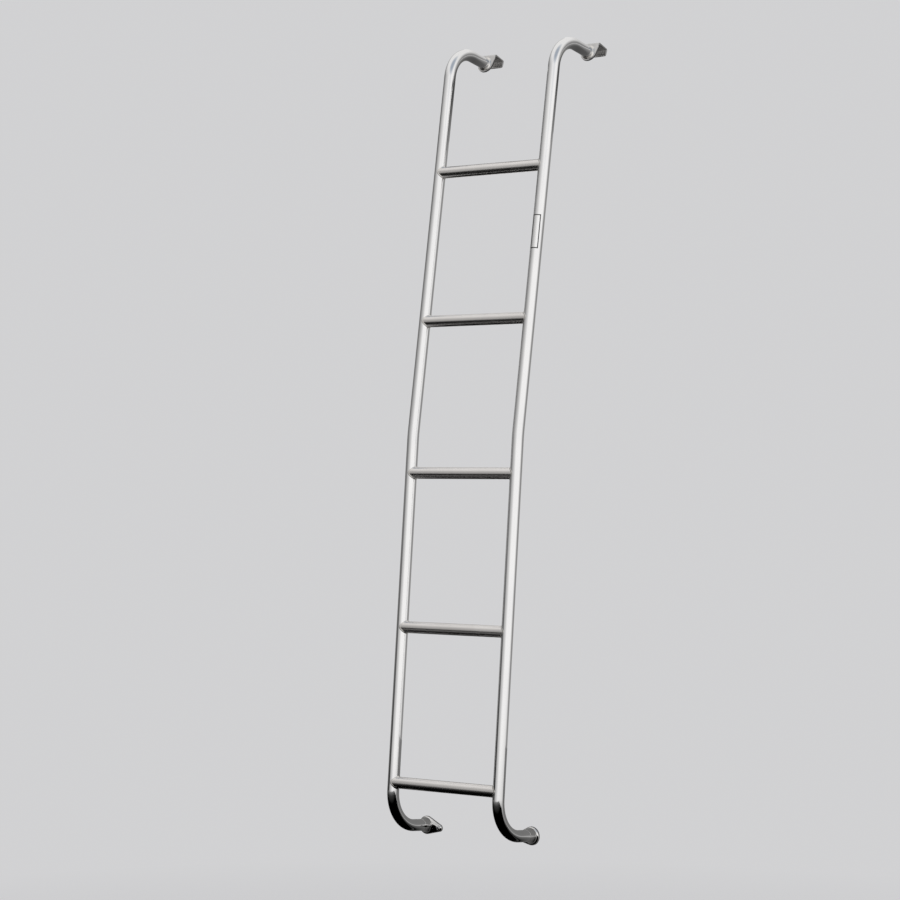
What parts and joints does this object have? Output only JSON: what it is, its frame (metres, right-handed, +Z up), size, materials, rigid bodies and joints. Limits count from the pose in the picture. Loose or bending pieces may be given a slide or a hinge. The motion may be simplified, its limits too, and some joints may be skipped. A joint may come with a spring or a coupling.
{
  "type": "van rear door ladder",
  "caption": "Fixed ladder for a van's rear door: two bent tube stiles with welded tube rungs, hook brackets at the top and screw flanges at the foot.",
  "frame": {"origin": "centre of the lower left pad's back face, where the left stile's foot meets the door", "axes": "+X along the rungs to the right as seen by a climber, +Y towards the door, +Z up"},
  "size_m": [0.3254, 0.3764, 1.714],
  "materials": {
    "polished_steel": "polished",
    "rubber": "matte"
  },
  "bodies": {
    "root": {"left_stile": "polished_steel", "right_stile": "polished_steel", "rung_1": "polished_steel", "rung_2": "polished_steel", "rung_3": "polished_steel", "rung_4": "polished_steel", "rung_5": "polished_steel", "lower_left_flange": "polished_steel", "lower_right_flange": "polished_steel", "upper_left_bracket": "polished_steel", "upper_right_bracket": "polished_steel", "lower_left_pad": "rubber", "lower_right_pad": "rubber", "upper_left_pad": "rubber", "upper_right_pad": "rubber"}
  },
  "joints": []
}
